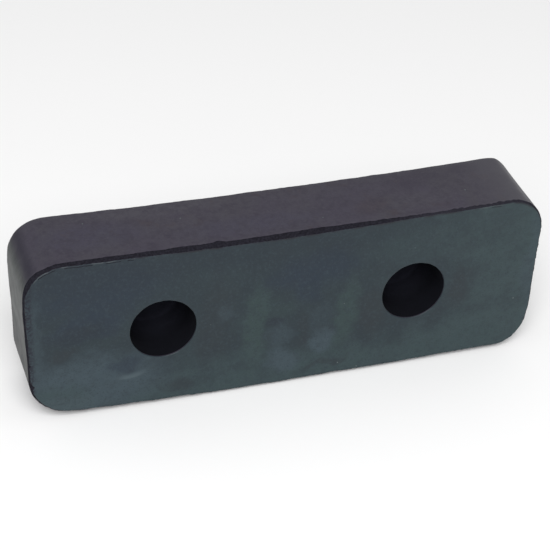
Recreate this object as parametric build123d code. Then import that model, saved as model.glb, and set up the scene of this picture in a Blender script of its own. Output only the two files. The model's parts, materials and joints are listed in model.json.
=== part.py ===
"""Rubber bumper block: a moulded rubber bar with two recessed bolt holes and a steel washer moulded in at each.

Frame, in millimetres: the origin is the centre of the flat mounting face at the back, midway between the
two bolt axes. +X runs along the block, +Y points out of the mounting face and +Z is up. The struck face
looks along -Y.
"""

import os

from build123d import *

# The block. It stands on its long narrow side, or lies with its back against a wall.
LENGTH = 305.0
HEIGHT = 104.5
DEPTH = 49.0
CORNER_RADIUS = 22.5
BACK_EDGE_RADIUS = 1.5

# The front edge, where the moulding flash is trimmed off with a knife.
TRIM_ON_SIDE = 2.2
TRIM_ON_FRONT = 1.6

# The two bolt positions. Each is a wide recess for the bolt's head, then a hole through the web behind it.
BOLT_SPACING = 150.0
RECESS_DIAMETER = 38.5
RECESS_DEPTH = 37.0
RECESS_FLOOR_RADIUS = 2.0
BOLT_HOLE_DIAMETER = 17.5

# The steel washer in each web, which spreads the load of the bolt's head.
WASHER_DIAMETER = 50.0
WASHER_THICKNESS = 4.0
WASHER_EDGE_CHAMFER = 0.5
RUBBER_OVER_WASHER = 2.5

# Worked out from the sizes above.
FRONT_Y = -DEPTH
RECESS_FLOOR_Y = FRONT_Y + RECESS_DEPTH
WASHER_FRONT_Y = RECESS_FLOOR_Y + RUBBER_OVER_WASHER
BOLT_X = {"left": -BOLT_SPACING / 2, "right": BOLT_SPACING / 2}


def disc(x, front_y, diameter, thickness):
    """A round solid on a bolt axis, from front_y towards the back."""
    front = Plane(origin=(x, front_y, 0), x_dir=(1, 0, 0), z_dir=(0, 1, 0))
    return extrude(front * Circle(diameter / 2), amount=thickness)


def washer(x):
    """A flat steel washer with broken outer edges. Its hole is in line with the bolt hole in the rubber."""
    plate = disc(x, WASHER_FRONT_Y, WASHER_DIAMETER, WASHER_THICKNESS)
    rims = plate.edges().filter_by(GeomType.CIRCLE)
    plate = chamfer(rims, WASHER_EDGE_CHAMFER)
    return plate - disc(x, WASHER_FRONT_Y, BOLT_HOLE_DIAMETER, WASHER_THICKNESS)


def head_recess(x):
    """The space that the bolt's head and a socket go into, with the rounded floor that its core pin leaves."""
    space = disc(x, FRONT_Y, RECESS_DIAMETER, RECESS_DEPTH)
    floor_rim = space.edges().filter_by(GeomType.CIRCLE).sort_by(Axis.Y)[-1]
    return fillet(floor_rim, RECESS_FLOOR_RADIUS)


def bar():
    """The rounded bar before its holes, with the rounded edge of the mould at the back and the trimmed front."""
    outline = Plane.XZ * RectangleRounded(LENGTH, HEIGHT, CORNER_RADIUS)
    solid = extrude(outline, amount=DEPTH)
    solid = fillet(solid.faces().sort_by(Axis.Y)[-1].edges(), BACK_EDGE_RADIUS)
    front = solid.faces().sort_by(Axis.Y)[0]
    return chamfer(front.edges(), TRIM_ON_FRONT, TRIM_ON_SIDE, reference=front)


def rubber_block(washers):
    """The bar less its recesses, bolt holes and the pockets that hold the washers."""
    block = bar()
    for x in BOLT_X.values():
        block -= head_recess(x)
        block -= disc(x, RECESS_FLOOR_Y, BOLT_HOLE_DIAMETER, DEPTH - RECESS_DEPTH)
    for insert in washers:
        block -= insert
    return block


def main():
    washers = {side + "_washer": washer(x) for side, x in BOLT_X.items()}
    nodes = {"rubber_block": rubber_block(washers.values()), **washers}
    os.makedirs("parts", exist_ok=True)
    for name, shape in nodes.items():
        shape.label = name
        export_step(shape, f"parts/{name}.step")


main()
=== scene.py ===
"""Looks for the rubber bumper block: the moulded skin, with its trimmed edge and its recesses, and the steel
washers.

It uses the CAD frame, in metres: +X runs along the block, the struck face looks along -Y and +Z is up.
"""

import json
import math

import bmesh
import bpy
import numpy as np
from mathutils import Euler, Matrix, Vector


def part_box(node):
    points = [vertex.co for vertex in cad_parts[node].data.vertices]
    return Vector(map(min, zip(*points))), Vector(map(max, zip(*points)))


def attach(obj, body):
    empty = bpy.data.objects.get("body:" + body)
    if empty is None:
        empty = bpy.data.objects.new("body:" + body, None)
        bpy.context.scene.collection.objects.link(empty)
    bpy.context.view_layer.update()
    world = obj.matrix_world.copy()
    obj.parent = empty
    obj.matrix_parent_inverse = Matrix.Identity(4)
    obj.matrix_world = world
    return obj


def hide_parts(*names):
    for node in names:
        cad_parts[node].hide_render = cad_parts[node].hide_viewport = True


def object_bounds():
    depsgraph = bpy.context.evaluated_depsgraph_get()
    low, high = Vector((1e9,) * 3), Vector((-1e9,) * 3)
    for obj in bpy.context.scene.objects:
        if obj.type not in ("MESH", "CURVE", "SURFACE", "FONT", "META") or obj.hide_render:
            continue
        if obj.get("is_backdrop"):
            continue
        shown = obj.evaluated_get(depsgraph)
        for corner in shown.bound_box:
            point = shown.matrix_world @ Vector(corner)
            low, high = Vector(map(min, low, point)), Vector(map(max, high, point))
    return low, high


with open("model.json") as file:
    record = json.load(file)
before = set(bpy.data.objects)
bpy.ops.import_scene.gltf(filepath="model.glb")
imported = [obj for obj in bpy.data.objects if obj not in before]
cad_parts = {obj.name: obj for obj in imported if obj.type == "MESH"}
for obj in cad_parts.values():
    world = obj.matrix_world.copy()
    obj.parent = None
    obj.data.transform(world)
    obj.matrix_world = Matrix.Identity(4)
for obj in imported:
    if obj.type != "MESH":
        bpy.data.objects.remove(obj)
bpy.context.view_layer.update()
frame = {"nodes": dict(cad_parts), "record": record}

MM = 0.001

# The block's sizes, from the frame.
low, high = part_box("rubber_block")
FRONT, BACK = low.y, high.y
HALF_LENGTH, HALF_HEIGHT = high.x, high.z
MIDDLE = (low + high) / 2
mounts = {m["name"]: m for m in frame["record"]["mounts"]}
BOLT_X = mounts["right_bolt_hole"]["pos_m"][0]
BOLT_R = mounts["right_bolt_hole"]["dims"]["r_mm"] * MM
RECESS_R = mounts["right_head_recess"]["dims"]["r_mm"] * MM
RECESS_FLOOR = BACK - mounts["right_bolt_hole"]["dims"]["length_mm"] * MM
washer_low, washer_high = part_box("right_washer")
WASHER_R = (washer_high.x - washer_low.x) / 2

# The photographed block's outer corners differ a little from the mean that the CAD part has. Each row is the
# way a corner points along X and Z, and its reach along X and Z, clockwise from the top right.
CORNERS = (
    (1, 1, 21.8 * MM, 21.8 * MM),
    (1, -1, 20 * MM, 29 * MM),
    (-1, -1, 31 * MM, 27 * MM),
    (-1, 1, 19.6 * MM, 19.6 * MM),
)

# The smaller roundings, as in the CAD part, and the worn rims of the recesses and of both ends of the bolt
# holes.
BACK_EDGE_R = 1.5 * MM
FLOOR_EDGE_R = 2 * MM
WASHER_CHAMFER = 0.5 * MM
RECESS_RIM_R = 0.35 * MM
HOLE_FRONT_R = 0.5 * MM
HOLE_BACK_R = 0.4 * MM

# The tables below are pairs of a place along the block, or up it, in millimetres, and a value there.

# The knife cut along the front edge, and how it changes in width: times the usual width, against x, along the
# top edge and along the bottom edge, and one value for the ends.
CUT_ON_FRONT = 1.6 * MM
CUT_ON_SIDE = 2.2 * MM
ABOVE = (
    (-150, 0.95), (-95, 1.0), (-65, 1.1), (-42, 1.32), (20, 1.3),
    (45, 1.0), (72, 0.68), (108, 0.66), (118, 0.55), (150, 0.55),
)
BELOW = (
    (-140, 1.4), (-133, 1.8), (-125, 2.15), (-116, 2.0), (-105, 1.75), (-75, 1.7),
    (-45, 1.35), (0, 1.1), (28, 1.75), (45, 1.5), (75, 1.25), (130, 1.2),
)
ON_ENDS = 0.62

# Along the top edge, against x: how rough the cut is, how much wider a notch makes it on the side, in
# millimetres, and how far its lip is lifted, which also sets where its painted highlight and the painted
# crease shade under it go.
ROUGHER = ((30, 0), (80, 1))
NOTCH = ((-47, 0), (-44.5, 0.9), (-42.5, 0.7), (-40, -0.5), (-33, -0.4), (-28, 0))
LIP = ((-152, 0.2), (-148, 1), (-105, 1), (-80, 0), (108, 0), (113, 0.9), (124, 0.6), (128, 0))

# Along the left end, against z: where the cut is chipped, and one bigger chip.
CHIPPED = ((-38, 0), (-30, 1), (15, 0.8), (28, 0))
BIG_CHIP = ((-31, 0), (-29, 1.6), (-28, 1.6), (-25, 0))

# How far the ends lean out, in millimetres, against z: the left end at the front and at the back, and the
# right end at the front.
LEFT_FRONT = ((-44, 0.3), (-37, 0.1), (-30, -0.3), (-12, 0.1), (22, 1.4), (31, 1.2), (40, 0.2))
LEFT_BACK = (
    (-45, 0), (-37, 0.1), (-28, -0.4), (-12, -0.4), (-1, -0.2), (9, 0.4), (19, 0.7), (30, 0.7), (42, 0),
)
RIGHT_FRONT = (
    (-45, 0.3), (-40, 0.1), (-31, -1.1), (-23, -0.8), (-9, -0.9), (4, -0.4), (16, 0.2), (30, 0.2), (38, -0.1),
)

# The front's top left corner dips and the back's top right corner rises: x, height and spread in
# millimetres.
DIP = (-140, -0.9, 5.5)
RISE = (141, 1.2, 5.5)

# The ends of this block stand a little higher than its middle, as a slightly warped moulding does.
WARP = 2.2 * MM

# Mesh spacing: points round the outline, and along the seam down the middle of each big face.
FINE = 1536
COARSE = FINE // 2
SEAM = 100

# The rings that round the rim of each recess. They and the next one keep all the points of the face.
RIM_RINGS = 3


def along(distance, pairs):
    """The value of a table at each distance along it, in metres."""
    return np.interp(distance / MM, *zip(*pairs))


def waves(points, length, seed, count=16):
    """Smooth seeded noise at each point, about -1 to 1, with bumps about length apart."""
    rng = np.random.default_rng(seed)
    heading = rng.normal(size=(count, 3))
    heading /= np.linalg.norm(heading, axis=1)[:, None]
    heading *= (2 * math.pi / length) * rng.uniform(0.6, 1.4, count)[:, None]
    phase = rng.uniform(0, 2 * math.pi, count)
    return np.sin(points @ heading.T + phase).sum(1) / math.sqrt(count)


def outline(count):
    """Evenly spaced (x, z) points clockwise round the block from its top middle, and the ways out of it."""
    knots = [(0, HALF_HEIGHT, math.pi / 2)]
    for quarter, (side_x, side_z, reach_x, reach_z) in enumerate(CORNERS):
        for turn in np.radians(np.linspace(0, 90, 65)):
            angle = math.pi / 2 * (1 - quarter) - turn
            x = side_x * (HALF_LENGTH - reach_x) + reach_x * math.cos(angle)
            z = side_z * (HALF_HEIGHT - reach_z) + reach_z * math.sin(angle)
            knots.append((x, z, angle))
    knots.append((0, HALF_HEIGHT, -1.5 * math.pi))
    knots = np.array(knots)
    run = np.r_[0, np.cumsum(np.hypot(*np.diff(knots[:, :2], axis=0).T))]
    x, z, angle = (np.interp(np.arange(count) * run[-1] / count, run, column) for column in knots.T)
    return np.c_[x, z], np.c_[np.cos(angle), np.sin(angle)]


class Skin:
    """Collects rings of points and the faces between them. Each point has a value for each of MARKS.

    cut, bore and front say which surface a point is on; cut also covers the painted crease shade under the
    lifted lip. lip, shade and rim are for the materials: the painted highlight on the torn lip of the cut,
    the painted shade beside the cut, and the painted highlight on the rims of the recesses.
    """

    MARKS = ("cut", "bore", "front", "lip", "shade", "rim")

    def __init__(self):
        self.points, self.marks, self.faces, self.count = [], [], [], 0

    def add(self, points, **values):
        points = np.asarray(points, float)
        marks = np.zeros((len(points), len(self.MARKS)))
        for name, value in values.items():
            marks[:, self.MARKS.index(name)] = value
        self.points.append(points)
        self.marks.append(marks)
        self.count += len(points)
        return np.arange(self.count - len(points), self.count)

    def join(self, a, b):
        """Quads between two closed rings, or triangles where one ring has half as many points."""
        after_a, after_b = np.roll(a, -1), np.roll(b, -1)
        if len(a) == len(b):
            self.faces += np.c_[a, after_a, after_b, b].tolist()
            return
        if len(a) < len(b):
            a, b, after_a, after_b = b, a, after_b, after_a
        even, odd, after = a[0::2], a[1::2], after_a[1::2]
        self.faces += np.c_[even, odd, b].tolist()
        self.faces += np.c_[odd, after_b, b].tolist()
        self.faces += np.c_[odd, after, after_b].tolist()

    def all_points(self):
        return np.concatenate(self.points)


def cut_width(points, out):
    """How wide the knife cut is at each outline point, times its usual width."""
    above, paler_low_painted_reflection = along(points[:, 0], ABOVE), along(points[:, 0], BELOW)
    up, down = np.clip(out[:, 1], 0, 1) ** 2, np.clip(-out[:, 1], 0, 1) ** 2
    top_left = np.clip(10 * (out @ (-0.87, 0.5)) - 9, 0, 1)
    return above * up + paler_low_painted_reflection * down + ON_ENDS * (1 - up - down) + 0.35 * top_left


def cut_edges(points, out, place):
    """How far the knife cut reaches along the side and over the front face at each point of the outline."""
    wider = cut_width(points, out)
    rough = 0.55 + 0.7 * along(points[:, 0], ROUGHER) * (points[:, 1] > 0)
    wander = 0.16 * waves(place, 24 * MM, 1) + 0.1 * waves(place, 9 * MM, 2)
    ragged = wander + (0.14 * waves(place, 4.5 * MM, 3) + 0.12 * waves(place, 2.3 * MM, 4)) * rough
    on_side = CUT_ON_SIDE * wider * (1 - 0.15 * np.clip(-out[:, 1], 0, 1)) + ragged * 1.3 * MM
    on_side = on_side + along(points[:, 0], NOTCH) * np.clip(out[:, 1], 0, 1) * MM
    on_front = CUT_ON_FRONT * wider + (0.6 * wander + 0.09 * waves(place, 2.6 * MM, 5)) * MM
    on_left = np.clip(-out[:, 0], 0, 1) ** 2 * along(points[:, 1], CHIPPED)
    chips = np.clip(waves(place, 6 * MM, 12) + 0.7 * waves(place, 2.2 * MM, 13) - 0.6, 0, 1.2)
    chips += along(points[:, 1], BIG_CHIP)
    on_front = on_front + 0.7 * MM * chips * on_left
    return np.maximum(on_side, 0.5 * MM), np.maximum(on_front, 0.4 * MM)


def sides(skin):
    """The rings from the front face, over the knife cut and along the sides, to the back face."""
    points, out = outline(FINE)
    place = np.c_[points[:, 0], np.zeros(FINE), points[:, 1]]
    on_side, on_front = cut_edges(points, out, place)
    lifted = along(points[:, 0], LIP) * (points[:, 1] > 0)
    torn = np.clip(0.55 + 1.2 * waves(place, 6.5 * MM, 6), 0, 1)
    lip = 0.16 * MM * torn * (0.25 + 0.75 * lifted)
    # Painted crease shade: a dark line under the lifted lip, drawn with the cut's material.
    crease_shade = (lifted * np.clip(0.6 + 1.5 * waves(place, 8 * MM, 14), 0, 1) > 0.45).astype(float)
    # Painted shade on the struck face beside the cut along the top edge, where the lip is not lifted.
    cut_edge_shade = np.clip(0.45 + 0.6 * waves(place, 12 * MM, 15), 0, 1) * np.clip(out[:, 1], 0, 1) * (1 - lifted)
    burr = 0.08 * MM * np.clip(0.2 + waves(place, 9 * MM, 7), 0, 1)

    def ring(inset, y, pick=1, **marks):
        inset, y = np.broadcast_to(inset, FINE), np.broadcast_to(y, FINE)
        ring_points = np.c_[points[:, 0] - inset * out[:, 0], y, points[:, 1] - inset * out[:, 1]]
        marks = {name: np.broadcast_to(value, FINE)[::pick] for name, value in marks.items()}
        return skin.add(ring_points[::pick], **marks)

    front_ring = ring(on_front + 2.4 * MM, FRONT, pick=2, front=1)
    rings = [
        front_ring,
        # These two rings mark the painted crease shade.
        ring(on_front + 1.35 * MM, FRONT, front=1, cut=crease_shade),
        ring(on_front + 0.95 * MM, FRONT, front=1, cut=crease_shade, shade=0.4 * cut_edge_shade),
        # The next two rings carry the lip's painted highlight.
        ring(on_front + 0.6 * MM, FRONT - 0.9 * lip, front=1, lip=0.4 * torn * lifted, shade=0.8 * cut_edge_shade),
        ring(on_front + 0.25 * MM, FRONT - lip, front=1, lip=torn * lifted, shade=cut_edge_shade),
        ring(on_front + 0.05 * MM, FRONT - 0.6 * lip, front=1, shade=cut_edge_shade),
    ]
    for step in np.linspace(0, 1, 8):
        chatter = 0.06 * MM * waves(place + (0, step * 2 * MM, 0), 3.2 * MM, 8) * math.sin(math.pi * step)
        inset = on_front * (1 - step) + 0.75 * chatter + 0.02 * MM
        rings.append(ring(inset, FRONT + on_side * step + 0.66 * chatter + 0.03 * MM, cut=1))
    rings.append(ring(-burr, FRONT + on_side + 0.12 * MM))
    rings.append(ring(-0.4 * burr, FRONT + on_side + 0.35 * MM))
    rings.append(ring(0, FRONT + on_side + 1.0 * MM))
    first, last = FRONT + 6 * MM, BACK - BACK_EDGE_R
    rings.append(ring(0, (FRONT + on_side + first) / 2 + 0.5 * MM, pick=2))
    for y in np.linspace(first, last, 17):
        rings.append(ring(0, y, pick=2))
    worn = 0.12 * MM * waves(place, 9 * MM, 9) + 0.06 * MM * waves(place, 4 * MM, 10)
    for angle in np.radians([22.5, 45, 67.5, 90]):
        inset = BACK_EDGE_R * (1 - math.cos(angle)) + worn * math.sin(2 * angle)
        rings.append(ring(inset, last + BACK_EDGE_R * math.sin(angle), pick=2))
    rings.append(ring(BACK_EDGE_R + 1 * MM, BACK, pick=2))
    for a, b in zip(rings, rings[1:]):
        skin.join(a, b)
    return front_ring, rings[-1]


def big_face(skin, border, y, rim_r, rings, **marks):
    """Two O-shaped grids that meet along a seam at x = 0, from the border to a rim round each bolt axis."""
    at = skin.all_points()
    top, bottom = border[0], border[COARSE // 2]
    seam_z = np.linspace(at[bottom][2], at[top][2], SEAM + 1)[1:-1]
    seam = skin.add(np.c_[np.zeros(SEAM - 1), np.full(SEAM - 1, y), seam_z], **marks)
    right = np.r_[border[: COARSE // 2 + 1], seam]
    left = np.r_[border[COARSE // 2 :], border[0], seam[::-1]]
    at = skin.all_points()
    rims = {}
    for side, loop in ((1, right), (-1, left)):
        centre = np.array([side * BOLT_X, y, 0])
        ray = at[loop] - centre
        ray[:, 1] = 0
        ray /= np.linalg.norm(ray, axis=1)[:, None]
        before = loop
        for step in np.linspace(0, 1, rings + 1)[1:]:
            share = step * (1.35 - 0.35 * step)
            ring = skin.add(at[loop] * (1 - share) + (centre + ray * rim_r) * share, **marks)
            skin.join(before, ring)
            before = ring
        rims[side] = (before, ray)
    return rims


def bore(skin, side, front_rim, back_rim, ray):
    """The recess, the bolt hole and the pocket round the washer, from the front face's rim to the back's."""
    section = []
    for angle in np.radians(np.linspace(0, 90, RIM_RINGS + 1)[1:]):
        r = RECESS_R + RECESS_RIM_R * (1 - math.sin(angle))
        section.append((r, FRONT + RECESS_RIM_R * (1 - math.cos(angle))))
    section += [(RECESS_R, y) for y in np.linspace(FRONT + 1 * MM, RECESS_FLOOR - FLOOR_EDGE_R, 10)]
    for angle in np.radians([18, 36, 54, 72, 90]):
        r = RECESS_R - FLOOR_EDGE_R * (1 - math.cos(angle))
        section.append((r, RECESS_FLOOR - FLOOR_EDGE_R * (1 - math.sin(angle))))
    section += [(r, RECESS_FLOOR) for r in (0.8 * RECESS_R, 0.65 * RECESS_R)]
    for outwards, inwards in ((1, 0), (0.3, 0.3), (0, 1)):
        section.append((BOLT_R + outwards * HOLE_FRONT_R, RECESS_FLOOR + inwards * HOLE_FRONT_R))
    for y, inwards in ((washer_low.y, 1), (washer_high.y, -1)):
        pocket = [(BOLT_R, y), (WASHER_R - WASHER_CHAMFER, y), (WASHER_R, y + inwards * WASHER_CHAMFER)]
        section += pocket[::inwards]
    section += [(BOLT_R, y) for y in np.linspace(washer_high.y, BACK - HOLE_BACK_R, 5)[1:]]
    for angle in np.radians([30, 60]):
        r = BOLT_R + HOLE_BACK_R * (1 - math.cos(angle))
        section.append((r, BACK - HOLE_BACK_R * (1 - math.sin(angle))))
    before = front_rim
    for number, (r, y) in enumerate(section):
        at_rim = number < RIM_RINGS
        spokes = ray if number <= RIM_RINGS else ray[::2]
        centre = np.array([side * BOLT_X, y, 0])
        nick = 0.05 * MM * waves(centre + spokes * r, 3 * MM, 11) * at_rim
        ring = skin.add(centre + spokes * (r + nick)[:, None], bore=not at_rim, front=at_rim, rim=at_rim)
        skin.join(before, ring)
        before = ring
    skin.join(before, back_rim)


def lean(points):
    """How far out of true the ends are, along X, and the top corners, along Z, in millimetres."""
    x, z = points[:, 0] / MM, points[:, 2] / MM
    forward = (BACK - points[:, 1]) / (BACK - FRONT)
    on_left, on_right = np.clip((-x - 115) / 35, 0, 1), np.clip((x - 115) / 35, 0, 1)
    left = along(points[:, 2], LEFT_FRONT) * forward + along(points[:, 2], LEFT_BACK) * (1 - forward)
    right = along(points[:, 2], RIGHT_FRONT) * forward
    dip, rise = (height * np.exp(-(((x - centre) / spread) ** 2)) for centre, height, spread in (DIP, RISE))
    on_top = np.clip((z - 15) / 20, 0, 1)
    return right * on_right - left * on_left, (dip * forward + rise * (1 - forward)) * on_top


def relief(skin):
    """The slow unevenness that a moulding has, and the block's lean and warp, on the outside of the block."""
    points, marks = skin.all_points(), np.concatenate(skin.marks)
    outside = 1 - marks[:, Skin.MARKS.index("bore")]
    sideways, up = lean(points)
    for axis, seed, shift in ((0, 21, sideways), (1, 22, 0), (2, 23, up)):
        size = 0.1 * waves(points, 70 * MM, seed) + 0.03 * waves(points, 18 * MM, seed + 10)
        points[:, axis] += (size + shift) * MM * outside
    points[:, 2] += WARP * ((points[:, 0] / HALF_LENGTH) ** 2 - (BOLT_X / HALF_LENGTH) ** 2) * outside
    return points, marks


def surface_kind(marks):
    """The material of a face, from its points' marks: 0 sides and back, 1 cut and the painted crease shade
    under the lip, 2 bored, 3 struck face.
    """
    cut, bored, front = marks[:, :3].min(0) > 0.5
    return 1 if cut else 2 if bored else 3 if front else 0


def rubber_mesh():
    """The moulded rubber skin as one closed mesh."""
    skin = Skin()
    front_border, back_border = sides(skin)
    front_rims = big_face(skin, front_border, FRONT, RECESS_R + RECESS_RIM_R, rings=22, front=1)
    back_rims = big_face(skin, back_border, BACK, BOLT_R + HOLE_BACK_R, rings=12)
    for side in (1, -1):
        front_rim, ray = front_rims[side]
        bore(skin, side, front_rim, back_rims[side][0], ray)
    points, marks = relief(skin)
    mesh = bpy.data.meshes.new("rubber_skin")
    mesh.from_pydata(points.tolist(), [], skin.faces)
    for column, name in enumerate(skin.MARKS):
        attribute = mesh.attributes.new(name, "FLOAT", "POINT")
        attribute.data.foreach_set("value", marks[:, column].astype(np.float32))
    work = bmesh.new()
    work.from_mesh(mesh)
    bmesh.ops.recalc_face_normals(work, faces=work.faces)
    work.to_mesh(mesh)
    work.free()
    mesh.polygons.foreach_set("material_index", [surface_kind(marks[face]) for face in skin.faces])
    mesh.shade_smooth()
    return mesh


class Nodes:
    """A short way to write a node material."""

    def __init__(self, name):
        self.material = bpy.data.materials.new(name)
        self.material.use_nodes = True
        self.tree = self.material.node_tree
        self.shader = self.tree.nodes["Principled BSDF"]
        self.place = self.add("ShaderNodeTexCoord").outputs["Object"]

    def add(self, kind, inputs=None, **settings):
        node = self.tree.nodes.new(kind)
        for name, value in settings.items():
            setattr(node, name, value)
        for name, value in (inputs or {}).items():
            self.set(node.inputs[name], value)
        return node

    def set(self, socket, value):
        if isinstance(value, bpy.types.NodeSocket):
            self.tree.links.new(value, socket)
        else:
            socket.default_value = value

    def axis(self, name):
        return self.add("ShaderNodeSeparateXYZ", {"Vector": self.place}).outputs[name]

    def stretched(self, scale, turn=0.0):
        """The place, squeezed along each axis by scale after a turn about Y, in radians."""
        turned = self.mapped(Vector=self.place, Rotation=(0, turn, 0))
        return self.mapped(Vector=turned, Scale=scale)

    def shifted(self, distance):
        return self.mapped(Vector=self.place, Location=(distance,) * 3)

    def mapped(self, vector_type="POINT", **inputs):
        return self.add("ShaderNodeMapping", inputs, vector_type=vector_type).outputs["Vector"]

    def noise(self, size, detail=3.0, roughness=0.5, vector=None, distortion=0.0):
        """Noise from 0 to 1, with bumps about size metres across."""
        inputs = {"Vector": vector or self.place, "Scale": 1 / size, "Detail": detail}
        inputs |= {"Roughness": roughness, "Distortion": distortion}
        return self.add("ShaderNodeTexNoise", inputs).outputs["Fac"]

    def ramp(self, value, start, end, low=0.0, high=1.0):
        """value from start to end, mapped smoothly to low to high."""
        inputs = {"Value": value, "From Min": start, "From Max": end, "To Min": low, "To Max": high}
        return self.add("ShaderNodeMapRange", inputs, interpolation_type="SMOOTHSTEP").outputs["Result"]

    def mix(self, share, a, b):
        node = self.add("ShaderNodeMix", data_type="RGBA")
        for socket, value in ((node.inputs[0], share), (node.inputs[6], a), (node.inputs[7], b)):
            self.set(socket, value)
        return node.outputs[2]

    def math(self, operation, a, b):
        node = self.add("ShaderNodeMath", operation=operation)
        self.set(node.inputs[0], a)
        self.set(node.inputs[1], b)
        return node.outputs[0]

    def mark(self, name):
        return self.add("ShaderNodeAttribute", attribute_name=name).outputs["Fac"]

    def vector_math(self, operation, a, b=None, scale=None):
        inputs = {0: a, 1: b, "Scale": scale}
        inputs = {name: value for name, value in inputs.items() if value is not None}
        return self.add("ShaderNodeVectorMath", inputs, operation=operation).outputs

    def bump(self, height, strength, distance):
        inputs = {"Height": height, "Strength": strength, "Distance": distance}
        return self.add("ShaderNodeBump", inputs).outputs["Normal"]

    def paint(self, **values):
        """Sets the shader's own sockets, with _ for the spaces in their names."""
        for name, value in values.items():
            self.set(self.shader.inputs[name.replace("_", " ")], value)


def screen(red, green, blue):
    """A shader colour from an ordinary 0 to 255 screen colour."""
    linear = [((v / 255 + 0.055) / 1.055) ** 2.4 if v > 10 else v / 255 / 12.92 for v in (red, green, blue)]
    return (*linear, 1)


# Base colours of the moulded surface: the struck face, the lip's painted highlight (also the dust specks'
# colour), the painted shade beside the cut and the pits along its edges, the sides, the painted shade on the
# rounded corners, and the ends.
BASE, BROWN = (0.006, 0.016, 0.022, 1), (0.008, 0.015, 0.020, 1)
BLUE, DEEP = (0.004, 0.013, 0.026, 1), (0.003, 0.010, 0.018, 1)
PALE_BLUE, PALE_GREEN = (0.026, 0.045, 0.057, 1), (0.018, 0.037, 0.041, 1)
STAIN, SCUFF = (0.015, 0.034, 0.034, 1), (0.042, 0.064, 0.076, 1)
PALE_HIGHLIGHT_AND_DUST, PAINTED_EDGE_SHADE, PIT_DARK = (0.11, 0.135, 0.135, 1), (0.0, 0.002, 0.006, 1), (0.0, 0.002, 0.010, 1)
SIDE_PURPLE, SIDE_VIOLET = (0.040, 0.035, 0.053, 1), (0.038, 0.037, 0.064, 1)
SIDE_GREY, SIDE_RUST = (0.043, 0.040, 0.052, 1), (0.039, 0.029, 0.036, 1)
SIDE_DARK, SIDE_LIGHT = (0.026, 0.022, 0.036, 1), (0.056, 0.054, 0.066, 1)
CORNER_PAINTED_SHADE, END_GREY = (0.005, 0.003, 0.015, 1), (0.004, 0.006, 0.006, 1)
END_GREEN, END_PALE = (0.020, 0.025, 0.024, 1), (0.036, 0.042, 0.043, 1)

# Soft patches on the struck face: x, z, half width and half height in millimetres, turn in degrees, colour
# and strength.
PATCHES = (
    (-112, 33, 42, 20, 0, BLUE, 0.9),
    (-118, 9, 25, 10, 10, BLUE, 0.9),
    (-124, 4, 18, 6, 14, DEEP, 0.8),
    (-116, -31, 46, 22, 0, PALE_BLUE, 0.95),
    (-136, -40, 22, 12, -10, PALE_GREEN, 0.8),
    (-133, -7, 10, 4, 20, BROWN, 0.7),
    (-131, -45, 19, 8, 0, SCUFF, 0.4),
    (-149, 4, 6, 40, 0, PALE_BLUE, 0.4),
    (-97, -22, 10, 8, 0, BLUE, 0.7),
    (-66, -41, 9, 8, 0, BROWN, 0.7),
    (-45, 0, 12, 34, -8, BROWN, 0.6),
    (-38, 4, 7, 5, 0, PALE_BLUE, 0.35),
    (13, 26, 32, 12, 6, BLUE, 0.9),
    (12, 12, 9, 12, 0, BLUE, 0.7),
    (-21, -9, 9, 34, -3, STAIN, 0.85),
    (-8, 3, 14, 8, -24, STAIN, 0.35),
    (-30, -30, 22, 9, 0, PALE_GREEN, 0.45),
    (-8, -8, 5, 4, 0, DEEP, 0.8),
    (-6, -19, 8, 10, -15, PALE_BLUE, 0.5),
    (-4, -36, 10, 9, -25, PALE_BLUE, 0.9),
    (19, -10, 8, 12, -12, PALE_BLUE, 0.25),
    (21, -26, 10, 8, 8, PALE_BLUE, 1.0),
    (8, -16, 4, 13, 5, BROWN, 0.6),
    (34, -9, 8, 29, -5, STAIN, 0.8),
    (50, -10, 10, 20, 0, BROWN, 0.8),
    (74, 31, 36, 13, 0, PALE_GREEN, 0.35),
    (21, -42, 15, 3, 8, BROWN, 0.6),
    (104, -3, 9, 16, 0, BROWN, 0.8),
    (96, -41, 52, 9, 4, PALE_GREEN, 0.6),
    (149, 6, 5, 44, 0, PALE_BLUE, 0.5),
)

# The same on the top side, with y and half depth for z and half height.
TOP_PATCHES = (
    (-112, -26, 34, 14, 0, SIDE_VIOLET, 0.35),
    (-70, -7, 46, 7, 0, SIDE_LIGHT, 0.45),
    (-20, -34, 50, 10, 0, SIDE_VIOLET, 0.3),
    (52, -32, 13, 8, 20, SIDE_RUST, 0.45),
    (84, -12, 20, 9, 10, SIDE_DARK, 0.45),
    (84, -33, 26, 9, 0, SIDE_LIGHT, 0.3),
    (118, -8, 12, 6, 0, SIDE_DARK, 0.5),
)


def patch(m, place, x, z, half_width, half_height, turn, start=1.25, end=0.45):
    """A soft ellipse: 1 inside and 0 outside."""
    turned = m.mapped(
        "TEXTURE",
        Vector=place,
        Location=(x * MM, 0, z * MM),
        Rotation=(0, -math.radians(turn), 0),
        Scale=(half_width * MM, 1, half_height * MM),
    )
    return m.ramp(m.vector_math("LENGTH", turned)["Value"], start, end)


def scuff(m):
    """A short curved rub mark, brightest along its lower edge."""
    from_centre = m.mapped("TEXTURE", Vector=m.place, Location=(-97 * MM, 0, -7 * MM))
    flat = m.vector_math("MULTIPLY", from_centre, (1, 0, 1))[0]
    radius = m.vector_math("LENGTH", flat)["Value"]
    band = m.math("MULTIPLY", m.ramp(radius, 19.5 * MM, 23.5 * MM), m.ramp(radius, 25 * MM, 24 * MM))
    return m.math("MULTIPLY", band, patch(m, m.place, -94, -29.5, 11, 5, 15, 1.1, 0.2))


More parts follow.
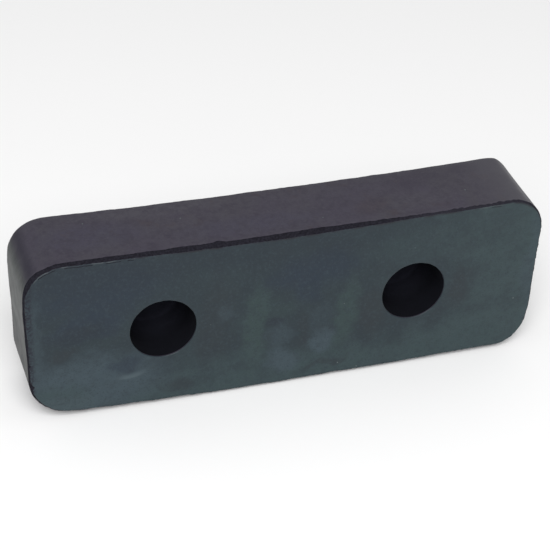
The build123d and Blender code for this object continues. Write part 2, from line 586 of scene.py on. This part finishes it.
def front_colour(m):
    """The bloom on the struck face: blue-grey at the upper left, greener and paler to the right. It is also
    greener and paler towards the bottom as a painted reflection, and darker near the top left as painted
    shade.
    """
    drift_inputs = {"Vector": m.place, "Scale": 1 / (13 * MM), "Detail": 3}
    drift = m.add("ShaderNodeTexNoise", drift_inputs).outputs["Color"]
    centred = m.vector_math("SUBTRACT", drift, (0.5, 0.5, 0.5))[0]
    drifted = m.vector_math("ADD", m.place, m.vector_math("SCALE", centred, scale=17 * MM)[0])[0]
    right = m.ramp(m.axis("X"), 55 * MM, 150 * MM, 0, 0.75)
    # Painted reflection: greener and paler towards the bottom edge.
    paler_low_painted_reflection = m.ramp(m.axis("Z"), -16 * MM, -52 * MM, 0, 0.8)
    cloud = m.ramp(m.noise(24 * MM, 4, 0.55), 0.3, 0.7, -0.2, 0.35)
    pale = m.math("ADD", m.math("ADD", right, paler_low_painted_reflection), cloud)
    colour = m.mix(m.ramp(pale, 0, 1), BASE, PALE_GREEN)
    for x, z, half_width, half_height, turn, tint, strength in PATCHES:
        share = m.math("MULTIPLY", patch(m, drifted, x, z, half_width, half_height, turn), strength)
        colour = m.mix(share, colour, tint)
    # Painted shade: darker near the top, fading out to the right.
    painted_shade_near_top, not_right = m.ramp(m.axis("Z"), 20 * MM, 44 * MM, 0, 0.6), m.ramp(m.axis("X"), 70 * MM, 20 * MM)
    colour = m.mix(m.math("MULTIPLY", painted_shade_near_top, not_right), colour, DEEP)
    smear = m.noise(10 * MM, 4, 0.6, m.stretched((1, 1, 2.2), turn=0.4), 0.6)
    colour = m.mix(m.ramp(smear, 0.5, 0.75, 0, 0.3), colour, BROWN)
    colour = m.mix(m.ramp(m.noise(4 * MM, 4, 0.6), 0.42, 0.7, 0, 0.3), colour, DEEP)
    colour = m.mix(m.ramp(m.noise(1.7 * MM, 3, 0.6, m.shifted(0.3)), 0.45, 0.75, 0, 0.3), colour, PALE_BLUE)
    colour = m.mix(m.ramp(m.noise(1.1 * MM, 2, 0.6, m.shifted(0.5)), 0.5, 0.72, 0, 0.5), colour, DEEP)
    near_left = m.ramp(m.axis("X"), -147.6 * MM, -150.8 * MM)
    pitted = m.math("MULTIPLY", near_left, m.ramp(m.noise(1.5 * MM, 3), 0.38, 0.58, 0.15, 1))
    colour = m.mix(pitted, colour, PIT_DARK)
    colour = m.mix(scuff(m), colour, SCUFF)
    # Painted highlight along the rims of the recesses.
    colour = m.mix(m.math("MULTIPLY", m.mark("rim"), 0.5), colour, PALE_GREEN)
    # Painted shade beside the knife cut.
    colour = m.mix(m.mark("shade"), colour, PAINTED_EDGE_SHADE)
    # Painted highlight on the torn, lifted lip.
    return m.mix(m.math("MULTIPLY", m.mark("lip"), 0.3), colour, PALE_HIGHLIGHT_AND_DUST)


def side_colour(m):
    """The sides: a browner black, finely mottled, paler near the back edge and at the ends, with painted
    shade on the rounded corners next to each end.
    """
    cloud = m.noise(32 * MM, 4, 0.55, m.stretched((1, 0.5, 1)), 0.3)
    colour = m.mix(m.ramp(cloud, 0.35, 0.7), SIDE_PURPLE, SIDE_GREY)
    near_back = m.ramp(m.axis("Y"), -16 * MM, -4 * MM, 0, 0.6)
    colour = m.mix(near_back, colour, SIDE_GREY)
    over = m.add("ShaderNodeCombineXYZ", {"X": m.axis("X"), "Z": m.axis("Y")}).outputs["Vector"]
    on_top = m.ramp(m.axis("Z"), 35 * MM, 50 * MM)
    for x, y, half_width, half_depth, turn, tint, strength in TOP_PATCHES:
        share = m.math("MULTIPLY", patch(m, over, x, y, half_width, half_depth, turn), on_top)
        colour = m.mix(m.math("MULTIPLY", share, strength), colour, tint)
    rust = m.noise(16 * MM, 4, 0.6, m.shifted(0.7), 0.4)
    colour = m.mix(m.ramp(rust, 0.58, 0.72, 0, 0.8), colour, SIDE_RUST)
    colour = m.mix(m.ramp(m.noise(5 * MM, 4, 0.6), 0.42, 0.72, 0, 0.65), colour, SIDE_DARK)
    colour = m.mix(m.ramp(m.noise(2.2 * MM, 3, 0.6, m.shifted(0.2)), 0.42, 0.72, 0, 0.5), colour, SIDE_DARK)
    colour = m.mix(m.ramp(m.noise(1.2 * MM, 2, 0.6, m.shifted(0.4)), 0.5, 0.75, 0, 0.5), colour, SIDE_LIGHT)
    not_on_back = m.ramp(m.axis("Y"), BACK - 0.6 * MM, BACK - 0.1 * MM, 1, 0)
    near_right = m.math("MULTIPLY", m.ramp(m.axis("X"), 105 * MM, 138 * MM, 0, 0.8), not_on_back)
    colour = m.mix(near_right, colour, SIDE_LIGHT)
    # Painted shade on the rounded corners, from about 9 to 3 millimetres in from each end.
    colour = m.mix(m.ramp(end_reach(m), -9 * MM, -3.2 * MM, 0, 0.95), colour, CORNER_PAINTED_SHADE)
    return m.mix(m.ramp(end_reach(m), -3.0 * MM, 0.4 * MM), colour, end_colour(m))


def end_reach(m):
    """How far along the block a point is, from either end: 0 at the end and negative inwards."""
    reach = m.add("ShaderNodeMath", {0: m.axis("X")}, operation="ABSOLUTE").outputs[0]
    return m.math("SUBTRACT", reach, HALF_LENGTH)


def end_streaks(m):
    """Faint marks on the two ends, which run up and down."""
    return m.noise(1.8 * MM, 4, 0.65, m.stretched((1, 1, 0.12)))


def end_colour(m):
    """The two ends: greener, and streaked."""
    streak = end_streaks(m)
    above = m.ramp(m.axis("Z"), -22 * MM, 2 * MM)
    light, dark = m.mix(above, END_GREEN, END_PALE), m.mix(above, END_GREY, END_GREEN)
    return m.mix(m.ramp(streak, 0.35, 0.65), light, dark)


def dust_specks(m, colour):
    """A few pale specks, each under a millimetre across."""
    cells = m.add("ShaderNodeTexVoronoi", {"Vector": m.place, "Scale": 1 / (11 * MM)})
    speck = m.ramp(cells.outputs["Distance"], 0.055, 0.02)
    chosen = m.add("ShaderNodeSeparateXYZ", {"Vector": cells.outputs["Color"]}).outputs["X"]
    return m.mix(m.math("MULTIPLY", speck, m.ramp(chosen, 0.62, 0.8)), colour, PALE_HIGHLIGHT_AND_DUST)


def moulded_material(name, colour, low_roughness, high_roughness, specular):
    """Moulded rubber with fine grain and duller ends, in the colours that a colour function gives."""
    m = Nodes(name)
    m.paint(Base_Color=dust_specks(m, colour(m)), Specular_IOR_Level=specular)
    patchy = m.ramp(m.noise(9 * MM, 4, 0.6), 0.25, 0.75, low_roughness, high_roughness)
    m.paint(Roughness=m.math("ADD", patchy, m.ramp(end_reach(m), -7 * MM, -1 * MM, 0, 0.07)))
    grooves = m.math("MULTIPLY", end_streaks(m), m.ramp(end_reach(m), -2.5 * MM, -0.5 * MM, 0, 4))
    m.paint(Normal=m.bump(m.math("ADD", m.noise(0.7 * MM, 3), grooves), 0.12, 0.1 * MM))
    return m.material


def cut_and_crease_shade_material():
    """The knife cut: rough and scraped, and a little paler to the right; also the painted crease shade under
    the lip.
    """
    m = Nodes("cut_and_crease_shade_rubber")
    scrape = m.noise(1.2 * MM, 4, 0.65)
    colour = m.mix(m.ramp(scrape, 0.3, 0.75), screen(17, 16, 23), screen(36, 35, 43))
    to_right = m.ramp(m.axis("X"), 50 * MM, 92 * MM, 0, 0.34)
    m.paint(Base_Color=m.mix(to_right, colour, screen(48, 47, 55)), Specular_IOR_Level=0.1)
    m.paint(Roughness=m.ramp(scrape, 0.2, 0.8, 0.75, 0.95), Normal=m.bump(scrape, 0.5, 0.15 * MM))
    return m.material


def bore_material():
    """The recesses, bolt holes and washer pockets: dusty, and paler towards the recess floor, which is
    painted light against the shade deep in the recess.
    """
    m = Nodes("bore_rubber")
    dust = m.noise(5 * MM, 4, 0.6)
    # Painted light: the walls and the floor get paler deeper in, where the recess lies in shade.
    painted_light_deeper = m.ramp(m.axis("Y"), RECESS_FLOOR - 22 * MM, RECESS_FLOOR - 2 * MM)
    on_floor = m.ramp(m.axis("Y"), RECESS_FLOOR - 2 * MM, RECESS_FLOOR - 0.3 * MM)
    colour = m.mix(painted_light_deeper, screen(16, 17, 23), screen(36, 37, 46))
    colour = m.mix(on_floor, colour, screen(34, 35, 44))
    colour = m.mix(m.ramp(dust, 0.3, 0.75, 0, 0.2), colour, screen(10, 10, 13))
    m.paint(Base_Color=colour, Roughness=m.ramp(dust, 0.2, 0.8, 0.85, 1.0), Specular_IOR_Level=0.08)
    m.paint(Normal=m.bump(m.noise(0.8 * MM, 3), 0.2, 0.1 * MM))
    return m.material


def washer_material():
    """Bare steel, a little worn."""
    m = Nodes("washer_steel")
    worn = m.noise(3 * MM, 4, 0.6)
    colour = m.mix(m.ramp(worn, 0.35, 0.7), screen(150, 150, 152), screen(118, 116, 114))
    m.paint(Base_Color=colour, Metallic=1.0, Roughness=m.ramp(worn, 0.2, 0.8, 0.35, 0.55))
    return m.material


def build_rubber():
    """The skin, its materials in the order that surface_kind numbers them, and what it stands for."""
    block = bpy.data.objects.new("rubber_skin", rubber_mesh())
    bpy.context.scene.collection.objects.link(block)
    sides_and_back = moulded_material("moulded_rubber", side_colour, 0.38, 0.48, 0.3)
    struck_face = moulded_material("bloomed_rubber", front_colour, 0.33, 0.44, 0.4)
    for material in (sides_and_back, cut_and_crease_shade_material(), bore_material(), struck_face):
        block.data.materials.append(material)
    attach(block, "root")
    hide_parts("rubber_block")


def finish_washers():
    """The washers keep their CAD shape and get a steel material."""
    steel = washer_material()
    for name in ("left_washer", "right_washer"):
        washer = frame["nodes"][name]
        washer.data.materials.clear()
        washer.data.materials.append(steel)


def studio():
    """A pale floor and soft light."""
    mesh = bpy.data.meshes.new("floor")
    reach = 6.0
    ground = min(corner.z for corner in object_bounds())
    corners = [(x * reach, y * reach, ground) for x, y in ((-1, -1), (1, -1), (1, 1), (-1, 1))]
    mesh.from_pydata(corners, [], [(0, 1, 2, 3)])
    floor = bpy.data.objects.new("floor", mesh)
    bpy.context.scene.collection.objects.link(floor)
    m = Nodes("pale_floor")
    m.paint(Base_Color=(0.94, 0.94, 0.94, 1), Roughness=0.9)
    mesh.materials.append(m.material)
    floor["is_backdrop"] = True

    world = bpy.data.worlds.new("studio")
    world.use_nodes = True
    background = world.node_tree.nodes["Background"]
    background.inputs["Color"].default_value = (1, 1, 1, 1)
    background.inputs["Strength"].default_value = 0.5
    bpy.context.scene.world = world

    light = bpy.data.lights.new("front_panel", "AREA")
    light.shape, light.size, light.energy = "SQUARE", 1.6, 62
    panel = bpy.data.objects.new("front_panel", light)
    panel.location = (-0.5, -1.7, 1.9)
    panel.rotation_euler = (MIDDLE - panel.location).to_track_quat("-Z", "Y").to_euler()
    bpy.context.scene.collection.objects.link(panel)


def camera():
    """The camera, where the outline fitted to the photograph puts it."""
    azimuth, elevation, roll = math.radians(-18.85), math.radians(34.78), math.radians(2.65)
    right_up_back = Vector((-0.0018, 0.0062, 1.0672))
    turn = Euler((math.pi / 2 - elevation, 0, azimuth)).to_matrix() @ Matrix.Rotation(roll, 3, "Z")
    data = bpy.data.cameras.new("camera")
    data.lens, data.sensor_width = 120, 36
    data.clip_end = 50
    eye = bpy.data.objects.new("camera", data)
    eye.matrix_world = Matrix.Translation(MIDDLE + turn @ right_up_back) @ turn.to_4x4()
    bpy.context.scene.collection.objects.link(eye)
    bpy.context.scene.camera = eye


build_rubber()
finish_washers()
studio()
camera()
bpy.context.scene.view_settings.view_transform = "Standard"
